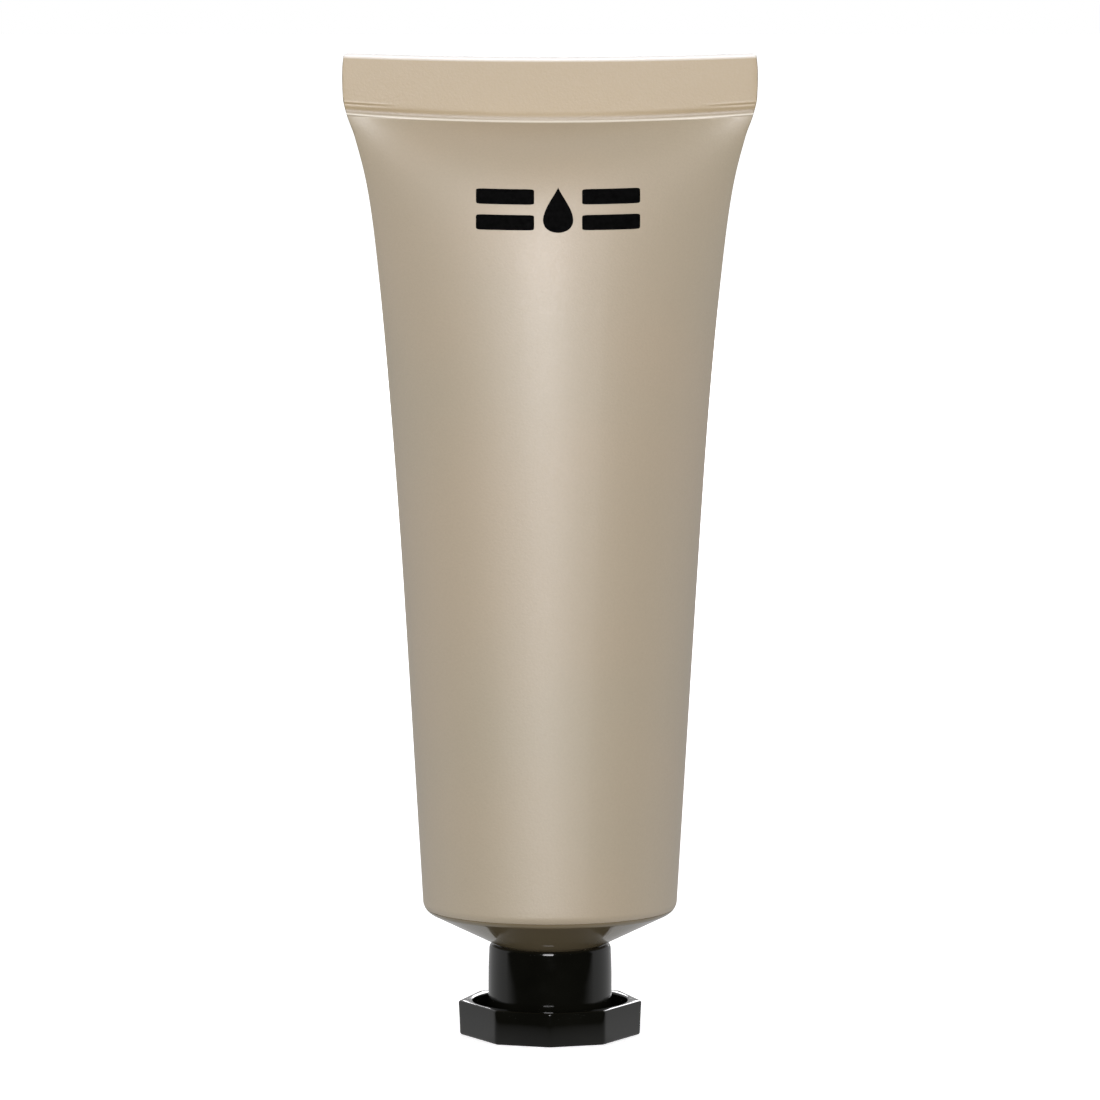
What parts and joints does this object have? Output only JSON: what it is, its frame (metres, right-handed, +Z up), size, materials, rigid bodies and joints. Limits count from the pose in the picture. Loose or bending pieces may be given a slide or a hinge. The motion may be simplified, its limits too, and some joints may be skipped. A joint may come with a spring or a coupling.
{
  "type": "shaving cream tube",
  "caption": "Beige laminate squeeze tube of shaving cream standing on a glossy black screw cap with an eight-sided ring.",
  "frame": {"origin": "centre of the cap's end, on the surface the tube stands on", "axes": "+Z up the tube from the cap to the welded end, +X along the welded band, the printed front faces -Y"},
  "size_m": [0.0564, 0.035, 0.1353],
  "materials": {
    "laminate": "satin",
    "shoulder_plastic": "gloss",
    "cap_plastic": "gloss",
    "insert_plastic": "satin",
    "foil": "satin",
    "liner_foam": "matte",
    "cream": "satin"
  },
  "bodies": {
    "tube": {"laminate_sleeve": "laminate", "shoulder_head": "shoulder_plastic", "barrier_insert": "insert_plastic", "peel_seal": "foil", "cream_fill": "cream"},
    "liner": {"cap_liner": "liner_foam"},
    "cap": {"screw_cap": "cap_plastic"}
  },
  "joints": [
    {"name": "cap_lift", "type": "slide", "parent": "tube", "child": "liner", "axis": [0, 0, -1], "range_m": [0, 0.009]},
    {"name": "cap_turn", "type": "hinge", "parent": "liner", "child": "cap", "pos_m": [0, 0, 0], "axis": [0, 0, -1], "range_deg": [0, 1080]}
  ],
  "couplings": [
    {"joint": "cap_turn", "follows": "cap_lift", "rad_per_m": 2094.4}
  ]
}
